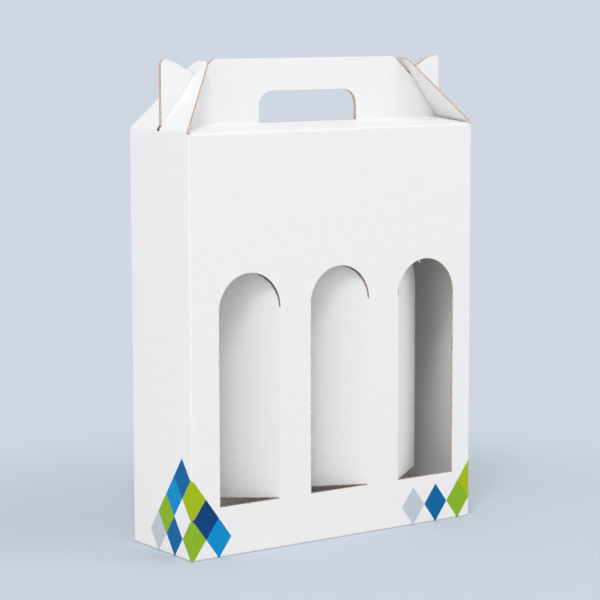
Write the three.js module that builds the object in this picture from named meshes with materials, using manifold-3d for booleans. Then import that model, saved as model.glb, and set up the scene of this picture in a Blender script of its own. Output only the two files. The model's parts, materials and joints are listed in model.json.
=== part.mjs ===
// Wine gift box for three bottles, folded from white-lined fluted board.
// Four walls, two shoulders that rise to a doubled carrying handle, two end flaps that lock
// over the handle's ears, and arched windows whose cut-outs fold inwards on a crease.
// Millimetres, +Z up, the front faces -Y, the origin is the middle of the base.

import * as THREE from 'three';
import { mergeVertices } from 'three/addons/utils/BufferGeometryUtils.js';
import Module from 'manifold-3d';

const wasm = await Module();
wasm.setup();

// Board and creases
const board = 1.3;               // thickness of the fluted board
const creaseInnerRadius = 0.8;   // inside radius of an upright crease
const creaseGap = 0.3;           // gap between two panels at their crease
const fitClearance = 0.4;        // gap between an inner flap and the walls round it

// Case
const bottlePitch = 81.5;        // width for one bottle
const endAllowance = 6.45;       // spare width at each end of the row of bottles
const bottleDepth = 78.8;        // inside depth
const caseHeight = 310;          // base to the top crease of the walls
const glueSeamWidth = 30;        // strip glued inside the back wall
const glueSeamTrim = 8;          // the strip stops this far from the base and the top crease

// Windows, from left to right: which upright edge is the crease, and how far the flap is folded in
const windows = [
  { name: 'left', creaseSide: 1, foldDegrees: 37 },
  { name: 'middle', creaseSide: 1, foldDegrees: 25 },
  { name: 'right', creaseSide: -1, foldDegrees: 38 },
];
const windowWidth = 54;
const windowSill = 37.5;         // sill above the base
const windowStraight = 143.2;    // height of the upright sides below the arch
const windowShift = 3.3;         // the row of windows sits this far right of the middle
const windowKerf = 0.3;          // gap all round a flap that is shut

// Shoulders and handle
const shoulderRise = 3.9;        // a shoulder climbs this much from the wall to the handle
const handleHeight = 47.7;       // handle above the shoulders' crease
const handleGap = 0.4;           // between the two handle panels
const handHoleWidth = 90;
const handHoleHeight = 23.6;
const handHoleRadius = 12;       // upper corners of the hand hole
const handHoleShift = 2;         // the hand hole sits this far right of the middle

// Lock flaps, and the notch and ear of the handle that they close over
const lockRise = 1.6;            // their crease, above the shoulders' crease on the walls
const lockLeanDegrees = 38;      // inwards from upright
const lockLength = 61.7;         // crease to tip
const lockBaseInset = 2.2;       // the crease stops this far from the case's corners
const lockTipWidth = 16.5;
const lockTipRadius = 8;
const slitLength = 50.6;         // slit that the ear comes through, from the crease
const slitClearance = 0.3;       // at each side of the handle
const sweepClearance = 0.3;      // between the slit's end and the ear as the flap swings
const notchClearance = 1.2;      // between the slit's end and the handle's end edge
const notchSlopeDegrees = 40;    // the handle's end edge, from level
const notchRun = 3;            // that edge runs on this far below the slit's end
const earHeel = 3.6;             // upright edge at the foot of the notch
const earSlopeDegrees = 30;      // the ear's inner edge, from level
const earSetback = 2;            // the ear's outer edge, inside the side wall's face
const earCornerRadius = 3.5;     // the ear's outer top corner

// Base
const baseSeamStep = 8;          // the lock line between front and back flap steps this far
const baseSeamRun = 14;          // half the length of its S-shaped middle
const baseSeamGap = 0.6;
const baseEndGap = 1.5;          // the outer flaps stop this far from the side faces
const cornerTipSetback = 1.5;    // the side flap's diagonal crease stops this far from mid-depth
const sideFlapClimb = 12;        // the side flaps climb onto the outer flaps over this run from the wall
const sideFlapReach = 26;        // length of the side flap's free edge
const sideFlapTaper = 6;         // that edge runs in by this much
const glueCornerFoot = 10;       // the glued corner is this much longer at the wall

// Steps round the curves
const archSteps = 24;
const cornerSteps = 6;
const sweepSteps = 96;
const weldDistance = 1e-4;

// Sizes that follow
const windowCount = windows.length;
const caseWidth = windowCount * bottlePitch + 2 * (endAllowance + board);
const caseDepth = bottleDepth + 2 * board;
const halfWidth = caseWidth / 2;
const halfDepth = caseDepth / 2;
const innerHalfWidth = halfWidth - board;
const innerHalfDepth = halfDepth - board;
const lockCrease = caseHeight + lockRise;
const handleFace = handleGap / 2 + board;
const handleFoot = caseHeight + shoulderRise;
const handleTop = handleFoot + handleHeight;
const reach = 2 * (caseWidth + caseHeight);
const radians = THREE.MathUtils.degToRad;
const lockLean = radians(lockLeanDegrees);

const alongX = new THREE.Vector3(1, 0, 0);
const alongY = new THREE.Vector3(0, 1, 0);
const alongZ = new THREE.Vector3(0, 0, 1);

const white = { color: 0xf1f1ef, roughness: 0.62, metalness: 0 };
const inside = { color: 0xe6e4df, roughness: 0.72, metalness: 0 };

const box = new THREE.Group();

// Outlines

function polygon(corners) {
  return new THREE.Shape(corners.map(([across, up]) => new THREE.Vector2(across, up)));
}

function rectangle(left, right, low, high) {
  return polygon([[left, low], [right, low], [right, high], [left, high]]);
}

function roundedRectangle(halfX, halfY, radius) {
  const shape = new THREE.Shape();
  const x = halfX - radius;
  const y = halfY - radius;
  shape.absarc(x, -y, radius, -Math.PI / 2, 0);
  shape.absarc(x, y, radius, 0, Math.PI / 2);
  shape.absarc(-x, y, radius, Math.PI / 2, Math.PI);
  shape.absarc(-x, -y, radius, Math.PI, 1.5 * Math.PI);
  return shape;
}

function roundTopped(left, right, low, high, radius) {
  const shape = new THREE.Shape();
  shape.moveTo(left, low);
  shape.lineTo(right, low);
  shape.absarc(right - radius, high - radius, radius, 0, Math.PI / 2);
  shape.absarc(left + radius, high - radius, radius, Math.PI / 2, Math.PI);
  return shape;
}

function archOutline(middle, inset) {
  const half = windowWidth / 2 - inset;
  const shape = new THREE.Shape();
  shape.moveTo(middle - half, windowSill + inset);
  shape.lineTo(middle + half, windowSill + inset);
  shape.absarc(middle, windowSill + windowStraight, half, 0, Math.PI);
  return shape;
}

// Solids: an outline pushed through a span, and the way to cut one with another

function prism(shape, right, up, low, high, steps) {
  const geometry = new THREE.ExtrudeGeometry(shape, {
    depth: high - low,
    bevelEnabled: false,
    curveSegments: steps,
  });
  const through = new THREE.Vector3().crossVectors(right, up);
  geometry.translate(0, 0, low);
  geometry.applyMatrix4(new THREE.Matrix4().makeBasis(right, up, through));
  geometry.deleteAttribute('normal');
  geometry.deleteAttribute('uv');
  const welded = mergeVertices(geometry, weldDistance);
  return new wasm.Manifold(new wasm.Mesh({
    numProp: 3,
    vertProperties: new Float32Array(welded.attributes.position.array),
    triVerts: new Uint32Array(welded.index.array),
  }));
}

function standing(planShape, low, high, steps = cornerSteps) {
  return prism(planShape, alongX, alongY, low, high, steps);
}

function throughDepth(faceShape, front, back, steps = cornerSteps) {
  return prism(faceShape, alongX, alongZ, -back, -front, steps);
}

function throughWidth(sideShape, left, right, steps = cornerSteps) {
  return prism(sideShape, alongY, alongZ, left, right, steps);
}

function addPiece(parent, name, solid, finish = white) {
  const cut = solid.getMesh();
  const geometry = new THREE.BufferGeometry();
  geometry.setAttribute('position', new THREE.BufferAttribute(cut.vertProperties, 3));
  geometry.setIndex(new THREE.BufferAttribute(cut.triVerts, 1));
  geometry.computeVertexNormals();
  const mesh = new THREE.Mesh(geometry, new THREE.MeshStandardMaterial(finish));
  mesh.name = name;
  parent.add(mesh);
  return mesh;
}

// A group turned half round the upright axis, for the pieces that repeat across the middle
function turnedHalfRound() {
  const group = new THREE.Group();
  group.rotation.z = Math.PI;
  box.add(group);
  return group;
}

// Walls: one sleeve with rounded creases, parted on the diagonal of each crease

function windowMiddle(index) {
  return windowShift + (index - (windowCount - 1) / 2) * bottlePitch;
}

function wallWedge(halfLong, halfShort) {
  const past = halfShort;
  const setOut = creaseGap / Math.SQRT2;
  return polygon([
    [-halfLong - past, -halfShort - past - setOut],
    [halfLong + past, -halfShort - past - setOut],
    [halfLong - past, -halfShort + past - setOut],
    [-halfLong + past, -halfShort + past - setOut],
  ]);
}

function wallSleeve(low, high) {
  const outer = roundedRectangle(halfWidth, halfDepth, creaseInnerRadius + board);
  const inner = roundedRectangle(innerHalfWidth, innerHalfDepth, creaseInnerRadius);
  return standing(outer, low, high).subtract(standing(inner, low - board, high + board));
}

function addWalls() {
  const longSleeve = wallSleeve(board, caseHeight - board);
  const longWedge = standing(wallWedge(halfWidth, halfDepth), 0, caseHeight);
  let front = longSleeve.intersect(longWedge);
  const back = longSleeve.intersect(longWedge.rotate([0, 0, 180]));
  for (let index = 0; index < windowCount; index += 1) {
    const opening = archOutline(windowMiddle(index), 0);
    front = front.subtract(throughDepth(opening, -caseDepth, 0, archSteps));
  }
  addPiece(box, 'front_panel', front);
  addPiece(box, 'back_panel', back);

  const shortSleeve = wallSleeve(board, lockCrease - creaseGap);
  const setOut = creaseGap / Math.SQRT2;
  const shortWedge = standing(polygon([
    [halfWidth - halfDepth + setOut, 0],
    [halfWidth + halfDepth + setOut, -2 * halfDepth],
    [halfWidth + halfDepth + setOut, 2 * halfDepth],
  ]), 0, lockCrease);
  addPiece(box, 'right_side_panel', shortSleeve.intersect(shortWedge));
  addPiece(box, 'left_side_panel', shortSleeve.intersect(shortWedge.rotate([0, 0, 180])));
}

function addGlueSeam() {
  const right = innerHalfWidth - creaseInnerRadius - creaseGap;
  const left = right - glueSeamWidth;
  const low = 2 * board + glueSeamTrim;
  const high = caseHeight - board - glueSeamTrim;
  const strip = polygon([
    [right, low],
    [right, high],
    [left, high - glueSeamTrim],
    [left, low + glueSeamTrim],
  ]);
  addPiece(box, 'glue_seam_flap', throughDepth(strip, innerHalfDepth - board, innerHalfDepth), inside);
}

// Window flaps: each turns on its crease, at the wall's inner face

function addWindowFlaps() {
  windows.forEach(({ name, creaseSide, foldDegrees }, index) => {
    const crease = new THREE.Group();
    crease.position.set(windowMiddle(index) + creaseSide * windowWidth / 2, -innerHalfDepth, 0);
    crease.rotation.z = -creaseSide * radians(foldDegrees);
    box.add(crease);
    const outline = archOutline(-creaseSide * windowWidth / 2, windowKerf);
    addPiece(crease, `window_flap_${name}`, throughDepth(outline, -board, 0, archSteps));
  });
}

// Shoulders: a rounded crease on the wall, a gentle climb, and a level land under the handle

function handHoleSpan() {
  return [handHoleShift - handHoleWidth / 2, handHoleShift + handHoleWidth / 2];
}

// Half the length of a shoulder at its foot by the wall, and at the handle, clear of the lock flap's slope
function shoulderHalfLengths() {
  const lockInnerFace = board / Math.cos(lockLean) + (handleFoot - lockCrease) * Math.tan(lockLean);
  return [innerHalfWidth - creaseInnerRadius, halfWidth - lockInnerFace - creaseGap];
}

function shoulderSolid() {
  const profile = new THREE.Shape();
  profile.moveTo(-innerHalfDepth, caseHeight - board);
  profile.lineTo(-handleGap / 2, handleFoot - board);
  profile.lineTo(-handleGap / 2, handleFoot);
  profile.lineTo(-handleFace, handleFoot);
  profile.lineTo(-innerHalfDepth, caseHeight);
  profile.absarc(-innerHalfDepth, caseHeight - board, board, Math.PI / 2, Math.PI);
  const [atWall, atHandle] = shoulderHalfLengths();
  const plan = polygon([
    [-atWall, -halfDepth],
    [atWall, -halfDepth],
    [atHandle, -handleFace],
    [atHandle, 0],
    [-atHandle, 0],
    [-atHandle, -handleFace],
  ]);
  const [holeLeft, holeRight] = handHoleSpan();
  const holeFoot = standing(rectangle(holeLeft, holeRight, -handleFace, 0), 0, reach);
  return throughWidth(profile, -halfWidth, halfWidth)
    .intersect(standing(plan, 0, reach))
    .subtract(holeFoot);
}

// Handle: a strip with a hand hole, and at each end a notch with an ear beyond it

function handHoleOutline() {
  const [left, right] = handHoleSpan();
  return roundTopped(left, right, handleFoot - board, handleFoot + handHoleHeight, handHoleRadius);
}

// The notch starts just under the slit's end of the closed lock flap
function notchOutline() {
  const slope = radians(notchSlopeDegrees);
  const slitEnd = new THREE.Vector2(-board, slitLength).rotateAround(new THREE.Vector2(), lockLean);
  const onEdge = slitEnd.add(new THREE.Vector2(halfWidth, lockCrease));
  onEdge.x -= notchClearance * Math.sin(slope);
  onEdge.y -= notchClearance * Math.cos(slope);
  const footX = onEdge.x + notchRun * Math.cos(slope);
  const footY = onEdge.y - notchRun * Math.sin(slope);
  const climb = handleTop + handleHeight - footY;
  return polygon([
    [footX, footY],
    [footX, footY + earHeel],
    [footX + (climb - earHeel) / Math.tan(radians(earSlopeDegrees)), footY + climb],
    [footX - climb / Math.tan(slope), footY + climb],
  ]);
}

// What the lock flap sweeps with the solid board past its slit, where no ear may stand
function lockSweep() {
  const kept = new THREE.Shape();
  kept.absarc(halfWidth, lockCrease, slitLength - sweepClearance, 0, 2 * Math.PI);
  const beyondNotch = rectangle(halfWidth - slitLength * Math.sin(lockLean), reach, 0, reach);
  return throughDepth(beyondNotch, -caseDepth, caseDepth)
    .subtract(throughDepth(kept, -reach, reach, sweepSteps));
}

function handleSolid() {
  const earOuter = halfWidth - earSetback;
  const strip = roundTopped(-earOuter, earOuter, handleFoot, handleTop, earCornerRadius);
  const endCut = throughDepth(notchOutline(), -caseDepth, caseDepth).add(lockSweep());
  return throughDepth(strip, -handleFace, -handleGap / 2)
    .subtract(throughDepth(handHoleOutline(), -caseDepth, caseDepth))
    .subtract(endCut)
    .subtract(endCut.mirror([1, 0, 0]));
}

function addTop() {
  const shoulder = shoulderSolid();
  const handle = handleSolid();
  addPiece(box, 'front_shoulder', shoulder);
  addPiece(box, 'back_shoulder', shoulder.mirror([0, 1, 0]));
  addPiece(box, 'front_handle_panel', handle);
  addPiece(box, 'back_handle_panel', handle.mirror([0, 1, 0]));
}

// Lock flaps: drawn upright on the crease, then leaned in over the ears

function lockOutline() {
  const halfBase = halfDepth - lockBaseInset;
  const halfTip = lockTipWidth / 2;
  const corner = new THREE.Vector2(halfTip, lockLength);
  const downEdge = new THREE.Vector2(halfBase, 0).sub(corner).normalize();
  const edgeTurn = Math.acos(-downEdge.x);
  const tangent = lockTipRadius / Math.tan(edgeTurn / 2);
  const centreX = halfTip - tangent;
  const centreY = lockLength - lockTipRadius;
  const edgeAngle = Math.atan2(downEdge.x, -downEdge.y);
  const shape = new THREE.Shape();
  shape.moveTo(-halfBase, 0);
  shape.lineTo(halfBase, 0);
  shape.absarc(centreX, centreY, lockTipRadius, edgeAngle, Math.PI / 2);
  shape.absarc(-centreX, centreY, lockTipRadius, Math.PI / 2, Math.PI - edgeAngle);
  return shape;
}

function lockSolid() {
  const halfSlit = handleFace + slitClearance;
  const slit = rectangle(-halfSlit, halfSlit, -board, slitLength);
  const heelCut = polygon([
    [0, 0],
    [-2 * board, 2 * board * Math.tan(lockLean)],
    [-2 * board, -board],
    [0, -board],
  ]);
  return throughWidth(lockOutline(), -board, 0)
    .subtract(throughWidth(slit, -2 * board, board))
    .subtract(throughDepth(heelCut, -caseDepth, caseDepth));
}

function addLockFlaps() {
  const flap = lockSolid();
  const right = new THREE.Group();
  right.position.set(halfWidth, 0, lockCrease);
  right.rotation.y = -lockLean;
  const left = new THREE.Group();
  left.position.set(-halfWidth, 0, lockCrease);
  left.rotation.y = lockLean;
  box.add(right, left);
  addPiece(right, 'right_lock_flap', flap);
  addPiece(left, 'left_lock_flap', flap.mirror([1, 0, 0]));
}

// Base: front and back flaps meet on a lock line, with the side flaps and glued corners on top

// The flap's ends stop short of where the side flaps climb onto it
function frontBaseFlap() {
  const end = halfWidth - baseEndGap;
  const body = innerHalfWidth - sideFlapClimb - fitClearance;
  const step = baseSeamStep;
  const run = baseSeamRun;
  const edge = -baseSeamGap / 2;
  const [start] = diagonalEnds();
  const onDiagonal = (x) => start.y - creaseGap / Math.SQRT2 + start.x - x;
  const plan = new THREE.Shape();
  plan.moveTo(-end, -halfDepth);
  plan.lineTo(end, -halfDepth);
  plan.lineTo(end, onDiagonal(end));
  plan.lineTo(body, onDiagonal(body));
  plan.lineTo(body, edge + step);
  plan.lineTo(run, edge + step);
  plan.bezierCurveTo(0, edge + step, 0, edge - step, -run, edge - step);
  plan.lineTo(-body, edge - step);
  plan.lineTo(-body, -innerHalfDepth);
  plan.lineTo(-end, -innerHalfDepth);
  const roundedUnderside = new THREE.Shape();
  roundedUnderside.moveTo(halfDepth, board);
  roundedUnderside.lineTo(-halfDepth, board);
  roundedUnderside.absarc(-innerHalfDepth, board, board, Math.PI, 1.5 * Math.PI);
  roundedUnderside.lineTo(halfDepth, 0);
  return standing(plan, 0, board, archSteps).intersect(throughWidth(roundedUnderside, -reach, reach));
}

function diagonalEnds() {
  const start = new THREE.Vector2(innerHalfWidth, -innerHalfDepth + fitClearance);
  const run = innerHalfDepth - fitClearance - cornerTipSetback;
  return [start, new THREE.Vector2(start.x - run, start.y + run)];
}

function sideBaseFlap() {
  const [start, end] = diagonalEnds();
  const apart = creaseGap / Math.SQRT2;
  const far = -start.y;
  const plan = polygon([
    [halfWidth, start.y + apart],
    [halfWidth, far],
    [start.x, far],
    [start.x - sideFlapReach, far - sideFlapTaper],
    [end.x, end.y + apart],
    [start.x, start.y + apart],
  ]);
  const climbEnd = innerHalfWidth - sideFlapClimb;
  const profile = new THREE.Shape();
  profile.moveTo(0, board);
  profile.lineTo(climbEnd, board);
  profile.lineTo(innerHalfWidth, 0);
  profile.absarc(innerHalfWidth, board, board, -Math.PI / 2, 0);
  profile.lineTo(innerHalfWidth, board);
  profile.lineTo(climbEnd, 2 * board);
  profile.lineTo(0, 2 * board);
  return standing(plan, 0, 2 * board).intersect(throughDepth(profile, -caseDepth, caseDepth));
}

function gluedCorner() {
  const [start, end] = diagonalEnds();
  const apart = creaseGap / Math.SQRT2;
  return standing(polygon([
    [start.x - apart, start.y],
    [end.x, end.y - apart],
    [end.x - glueCornerFoot, start.y],
  ]), board, 2 * board);
}

function addBase() {
  const acrossTheMiddle = turnedHalfRound();
  addPiece(box, 'bottom_front_flap', frontBaseFlap());
  addPiece(box, 'bottom_right_flap', sideBaseFlap(), inside);
  addPiece(box, 'bottom_right_glue_corner', gluedCorner(), inside);
  addPiece(acrossTheMiddle, 'bottom_back_flap', frontBaseFlap());
  addPiece(acrossTheMiddle, 'bottom_left_flap', sideBaseFlap(), inside);
  addPiece(acrossTheMiddle, 'bottom_left_glue_corner', gluedCorner(), inside);
}

addWalls();
addGlueSeam();
addWindowFlaps();
addTop();
addLockFlaps();
addBase();

export default box;
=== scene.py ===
"""Looks of a wine gift box for three bottles, folded from white-lined fluted board.

Each panel is cut from one flat dieline, scored, given its thickness and folded on its creases, as the
real blank is. The dieline is in millimetres: u runs round the walls, v climbs them, and w is the depth,
which is 0 on the outside face and minus the board's thickness on the inside face.
"""

import json
import logging
import math
from dataclasses import dataclass, field
from enum import Enum

import bmesh
import bpy
from mathutils import Matrix, Vector
from mathutils.geometry import intersect_line_sphere_2d


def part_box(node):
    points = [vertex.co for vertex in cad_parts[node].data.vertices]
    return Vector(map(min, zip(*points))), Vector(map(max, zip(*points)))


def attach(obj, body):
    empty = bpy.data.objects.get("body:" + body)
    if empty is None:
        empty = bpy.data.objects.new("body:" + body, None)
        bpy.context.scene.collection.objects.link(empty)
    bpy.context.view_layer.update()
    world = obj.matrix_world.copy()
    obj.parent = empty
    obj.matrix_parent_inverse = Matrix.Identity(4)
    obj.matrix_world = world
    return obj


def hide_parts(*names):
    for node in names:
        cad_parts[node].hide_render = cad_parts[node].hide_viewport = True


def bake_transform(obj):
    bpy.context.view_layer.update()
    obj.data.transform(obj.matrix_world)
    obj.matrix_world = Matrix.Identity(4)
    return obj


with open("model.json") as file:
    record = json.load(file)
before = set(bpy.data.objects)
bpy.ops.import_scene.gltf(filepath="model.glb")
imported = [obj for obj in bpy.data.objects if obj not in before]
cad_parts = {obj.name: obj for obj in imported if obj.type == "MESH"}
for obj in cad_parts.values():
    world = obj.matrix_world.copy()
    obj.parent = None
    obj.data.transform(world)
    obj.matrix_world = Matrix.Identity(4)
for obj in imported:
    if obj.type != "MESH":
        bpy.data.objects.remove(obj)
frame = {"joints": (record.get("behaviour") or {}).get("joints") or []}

LOG = logging.getLogger("gift_box")
CARTON = "carton"
DIELINE = "dieline"
MM = 0.001
QUARTER = math.pi / 2
UP = Vector((0.0, 0.0, 1.0))
SCORE_SLACK = 1e-3
BISECT_SLACK = SCORE_SLACK / 10
SHARP_ANGLE = math.radians(30)
CUT_TILT = 0.5
FLUTE_PITCH = 3.2
UNIT = (0.0, 1.0)
NOISE_DETAIL = 4.0
NOISE_RANGE = (0.35, 0.65)

# Places of the colour sockets on a mix node
MIX_FIRST, MIX_SECOND, MIX_RESULT = 6, 7, 2

Point = tuple[float, float]
Span = tuple[float, float]
Colour = tuple[float, float, float, float]
Node = bpy.types.Node
Socket = bpy.types.NodeSocket
Shaded = bpy.types.Material | bpy.types.World
Piece = bpy.types.Object


class Surface(Enum):
    """The surfaces of a sheet of board, in the order of its material slots."""

    OUTSIDE = 0
    INSIDE = 1
    CUT = 2


class Side(Enum):
    """The sides of the case, in the frame's words."""

    FRONT = "front"
    BACK = "back"
    LEFT = "left"
    RIGHT = "right"


class Bay(Enum):
    """The places of the windows, in the frame's words."""

    LEFT = "left"
    MIDDLE = "middle"
    RIGHT = "right"


class Slot(Enum):
    """The record's material slots."""

    PRINTED = "printed_board"
    INNER = "inner_board"


class Ink(Enum):
    """Inks of the print, as linear colours."""

    GREEN = (0.262, 0.478, 0.022, 1.0)
    LIME = (0.380, 0.512, 0.010, 1.0)
    SKY = (0.002, 0.276, 0.632, 1.0)
    BLUE = (0.002, 0.138, 0.378, 1.0)
    NAVY = (0.003, 0.054, 0.210, 1.0)
    MIST = (0.550, 0.608, 0.680, 1.0)


# Outlines


def arc(centre: Point, radius: float, start: float, end: float, steps: int) -> list[Point]:
    """Points along a round stretch of an outline, from a start to an end in degrees, both included."""
    turns = [math.radians(start + (end - start) * step / steps) for step in range(steps + 1)]
    return [(centre[0] + radius * math.cos(turn), centre[1] + radius * math.sin(turn)) for turn in turns]


def s_curve(start: Point, end: Point, steps: int) -> list[Point]:
    """Points along an S that leaves and arrives level.

    Args:
        start: First point.
        end: Last point.
        steps: How many straight steps stand for the curve.

    Returns:
        The points, both ends included.
    """
    points = []
    for step in range(steps + 1):
        share = step / steps
        eased = share * share * (3 - 2 * share)
        points.append((start[0] + (end[0] - start[0]) * share, start[1] + (end[1] - start[1]) * eased))
    return points


def both_halves(right_half: list[Point]) -> list[Point]:
    """The outline of a piece that is alike left and right, from its right half, foot to top."""
    return right_half + [(-across, up) for across, up in reversed(right_half)]


# Objects in the scene and in the frame


def link(name: str, data: bpy.types.ID) -> Piece:
    """Puts a new object into the scene.

    Args:
        name: Its name.
        data: Its mesh, light or camera.

    Returns:
        The object, at the origin.
    """
    made = bpy.data.objects.new(name, data)
    bpy.context.scene.collection.objects.link(made)
    return made


def mesh_object(name: str, bm: bmesh.types.BMesh) -> Piece:
    """Turns a bmesh into an object of the scene, and frees it.

    Args:
        name: The object's name.
        bm: Its shape.

    Returns:
        The object.
    """
    mesh = bpy.data.meshes.new(name)
    bm.to_mesh(mesh)
    bm.free()
    return link(name, mesh)


def joint(name: str) -> dict:
    """The frame's joint of that name."""
    return next(item for item in frame["joints"] if item["name"] == name)


def stand_for(piece: Piece, slot: Slot, *nodes: str) -> Piece:
    """Hides the frame's solids that a piece stands in for.

    Args:
        piece: The piece.
        slot: Not used.
        nodes: The solids.

    Returns:
        The piece.
    """
    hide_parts(*nodes)
    return piece


def fix_to_carton(piece: Piece, slot: Slot, *nodes: str) -> Piece:
    """Parents a fixed piece to the carton's body and hides the frame's solids that it stands in for."""
    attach(piece, CARTON)
    return stand_for(piece, slot, *nodes)


# Board: creases and sheets


@dataclass(frozen=True)
class Crease:
    """A rounded fold, made of narrow scored lines side by side.

    at is the corner of the fold's tight face, seen from the panel that stays. A positive angle folds away
    from the outside face, and a negative one towards it. side says which way along the dieline the folded
    panel lies. hold is the distance beside the fold at which the panels' shading turns flat.
    """

    at: float
    angle: float
    radius: float
    upright: bool = False
    side: int = 1
    lines: int = 6
    hold: float = 0.7

    @property
    def pitch(self) -> float:
        """Distance between neighbouring scored lines."""
        return 2 * self.radius * math.tan(abs(self.angle) / self.lines / 2)

    @property
    def setback(self) -> float:
        """Distance from the first scored line to the corner."""
        return self.radius * math.tan(abs(self.angle) / 2) - self.pitch / 2

    @property
    def past(self) -> float:
        """The corner's place on the dieline, seen from the panel that folds."""
        return self.at + self.side * ((self.lines - 1) * self.pitch - 2 * self.setback)

    @property
    def first(self) -> float:
        """The scored line nearest to the panel that stays."""
        return self.at - self.side * self.setback

    @property
    def last(self) -> float:
        """The scored line nearest to the panel that folds."""
        return self.past + self.side * self.setback

    def stations(self) -> list[float]:
        """Every scored line, from the panel that stays to the one that folds."""
        return [self.first + self.side * index * self.pitch for index in range(self.lines)]

    def score(self, bm: bmesh.types.BMesh) -> None:
        """Cuts the scored lines, and one more on either side that keeps the panels' shading flat.

        Args:
            bm: The flat sheet.
        """
        across = Vector((1, 0, 0)) if self.upright else Vector((0, 1, 0))
        beside = [self.first - self.side * self.hold, self.last + self.side * self.hold]
        for station in self.stations() + beside:
            whole = bm.verts[:] + bm.edges[:] + bm.faces[:]
            place = across * station
            bmesh.ops.bisect_plane(bm, geom=whole, dist=BISECT_SLACK, plane_co=place, plane_no=across)

    def fold(self, bm: bmesh.types.BMesh, flat: dict[bmesh.types.BMVert, Vector], board: float) -> None:
        """Turns what lies past each scored line about that line, the farthest line first.

        Args:
            bm: The sheet, still flat on the near side of this crease.
            flat: Each vertex with its place on the dieline.
            board: Thickness of the sheet.
        """
        depth = -board if self.angle > 0 else 0.0
        turn = self.side * self.angle / self.lines / 2
        half_turn = Matrix.Rotation(turn, 3, "Y") if self.upright else Matrix.Rotation(-turn, 3, "X")
        for station in reversed(self.stations()):
            pivot = Vector((station, 0, depth)) if self.upright else Vector((0, station, depth))
            for slack in (-SCORE_SLACK, SCORE_SLACK):
                moved = [
                    vert for vert, place in flat.items()
                    if self.side * ((place.x if self.upright else place.y) - station) > slack
                ]
                bmesh.ops.rotate(bm, cent=pivot, matrix=half_turn, verts=moved)


def bend_on_crease(piece: Piece, crease: Crease) -> None:
    """Bakes a flap's placing into its mesh.

    Args:
        piece: The flap, with a strip of the wall that it hangs on.
        crease: Not used.
    """
    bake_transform(piece)


@dataclass(frozen=True)
class BoardFinish:
    """The three materials of a sheet: its outside and inside liners and its cut edge."""

    outside: bpy.types.Material
    inside: bpy.types.Material
    cut: bpy.types.Material


@dataclass
class Sheet:
    """One sheet of board, from its outline on the dieline to a folded object."""

    name: str
    outline: list[Point]
    placing: Matrix
    board: float
    holes: list[list[Point]] = field(default_factory=list)
    creases: list[Crease] = field(default_factory=list)

    def make(self, finish: BoardFinish) -> Piece:
        """Cuts, scores, thickens and folds the sheet and puts it in its place.

        Args:
            finish: The materials of its surfaces.

        Returns:
            The object, at the origin, with its place in its mesh.
        """
        bm = bmesh.new()
        self.die_cut(bm)
        for crease in self.creases:
            crease.score(bm)
        self.thicken(bm)
        self.mark(bm)
        flat = {vert: vert.co.copy() for vert in bm.verts}
        for crease in reversed(self.creases):
            crease.fold(bm, flat, self.board)
        bmesh.ops.transform(bm, matrix=self.placing, verts=bm.verts)
        made = mesh_object(self.name, bm)
        made.data.shade_smooth()
        made.data.set_sharp_from_angle(angle=SHARP_ANGLE)
        for material in (finish.outside, finish.inside, finish.cut):
            made.data.materials.append(material)
        return made

    def die_cut(self, bm: bmesh.types.BMesh) -> None:
        """Fills the outline, less its holes.

        Args:
            bm: An empty bmesh.
        """
        edges = []
        for loop in [self.outline, *self.holes]:
            verts = [bm.verts.new((across, up, 0.0)) for across, up in loop]
            edges += [bm.edges.new(pair) for pair in zip(verts, verts[1:] + verts[:1])]
        bmesh.ops.triangle_fill(bm, use_beauty=True, edges=edges, normal=UP)

    def thicken(self, bm: bmesh.types.BMesh) -> None:
        """Gives the flat sheet its thickness, below the outside face.

        Args:
            bm: The flat sheet.
        """
        grown = bmesh.ops.extrude_face_region(bm, geom=bm.faces[:])["geom"]
        lower = [item for item in grown if isinstance(item, bmesh.types.BMVert)]
        bmesh.ops.translate(bm, vec=-UP * self.board, verts=lower)
        bmesh.ops.recalc_face_normals(bm, faces=bm.faces[:])

    def mark(self, bm: bmesh.types.BMesh) -> None:
        """Keeps each vertex's place on the dieline for the materials, and tells the surfaces apart.

        Args:
            bm: The sheet with its thickness, not folded yet.
        """
        place = bm.verts.layers.float_vector.new(DIELINE)
        for vert in bm.verts:
            vert[place] = vert.co
        bm.normal_update()
        for face in bm.faces:
            if abs(face.normal.z) < CUT_TILT:
                surface = Surface.CUT
            else:
                surface = Surface.OUTSIDE if face.normal.z > 0 else Surface.INSIDE
            face.material_index = surface.value


# Case: sizes from the frame, and the walls on the dieline


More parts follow.
